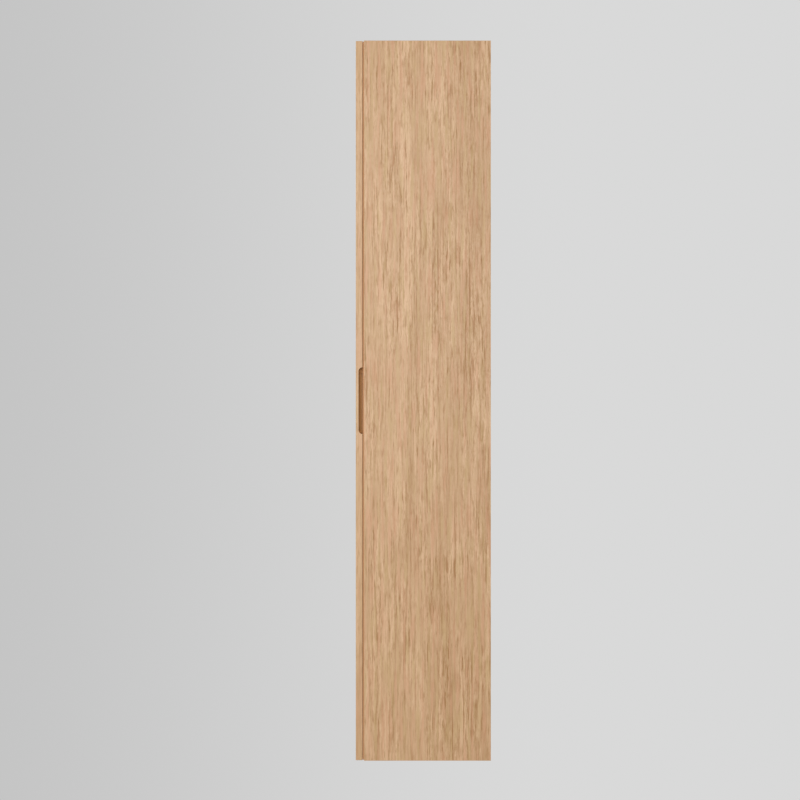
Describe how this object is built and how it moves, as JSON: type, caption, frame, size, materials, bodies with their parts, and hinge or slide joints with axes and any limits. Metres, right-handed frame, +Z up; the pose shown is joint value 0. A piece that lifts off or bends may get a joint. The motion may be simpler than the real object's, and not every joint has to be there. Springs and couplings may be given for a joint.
{
  "type": "wall-hung tall cabinet",
  "caption": "Slim wall-hung tall cabinet in light oak, with one full-height hinged door, a routed finger pull in its edge, and shelves inside.",
  "frame": {"origin": "centre of the four wall-screw holes, on the plane of the wall", "axes": "+Z up along the cabinet, +Y into the wall, +X to the right when facing the door"},
  "size_m": [0.4, 0.3, 1.6],
  "materials": {
    "oak_board": "satin oak-grain facing on chipboard",
    "oak_edging": "satin oak-grain edging",
    "oak_back_board": "thin fibreboard, oak-grain front, plain brown rear",
    "beech": "plain turned beech",
    "oak_cap": "moulded, oak-coloured",
    "cast_zinc": "die-cast, dull nickel plating",
    "nickel_steel": "pressed steel, nickel plated",
    "catch_plastic": "moulded, fine texture",
    "magnet": "ferrite with bare pole plates",
    "buffer_rubber": "soft brown strip, stuck on"
  },
  "bodies": {
    "carcass": {"adjustable_shelf_1": "oak_board", "adjustable_shelf_2": "oak_board", "adjustable_shelf_3": "oak_board", "adjustable_shelf_4": "oak_board", "adjustable_shelf_edging_1": "oak_edging", "adjustable_shelf_edging_2": "oak_edging", "adjustable_shelf_edging_3": "oak_edging", "adjustable_shelf_edging_4": "oak_edging", "back_panel": "oak_back_board", "bottom_panel": "oak_board", "bottom_panel_edging": "oak_edging", "cam_bolts": "nickel_steel", "cam_caps": "oak_cap", "cam_housings": "cast_zinc", "catch_housings": "catch_plastic", "catch_magnets": "magnet", "catch_screws": "nickel_steel", "door_buffer": "buffer_rubber", "dowels": "beech", "fixed_shelf": "oak_board", "fixed_shelf_edging": "oak_edging", "hinge_arm_1": "nickel_steel", "hinge_arm_2": "nickel_steel", "hinge_arm_3": "nickel_steel", "hinge_arm_4": "nickel_steel", "hinge_arm_screws": "nickel_steel", "hinge_plate_1": "cast_zinc", "hinge_plate_2": "cast_zinc", "hinge_plate_3": "cast_zinc", "hinge_plate_4": "cast_zinc", "hinge_plate_screws": "nickel_steel", "left_side_edging": "oak_edging", "left_side_panel": "oak_board", "lower_wall_rail": "oak_board", "right_side_edging": "oak_edging", "right_side_panel": "oak_board", "shelf_pins": "nickel_steel", "top_panel": "oak_board", "top_panel_edging": "oak_edging", "upper_wall_rail": "oak_board"},
    "door": {"door_bottom_edging": "oak_edging", "door_hinge_edging": "oak_edging", "door_opening_edging": "oak_edging", "door_panel": "oak_board", "door_top_edging": "oak_edging", "hinge_cup_1": "nickel_steel", "hinge_cup_2": "nickel_steel", "hinge_cup_3": "nickel_steel", "hinge_cup_4": "nickel_steel", "hinge_cup_screws": "nickel_steel", "hinge_pin_1": "nickel_steel", "hinge_pin_2": "nickel_steel", "hinge_pin_3": "nickel_steel", "hinge_pin_4": "nickel_steel", "catch_strikes": "nickel_steel", "strike_screws": "nickel_steel"}
  },
  "joints": [
    {"name": "door_swing", "type": "hinge", "parent": "carcass", "child": "door", "pos_m": [-0.19161, -0.29375, 0], "axis": [0, 0, -1], "range_deg": [0, 95]}
  ]
}
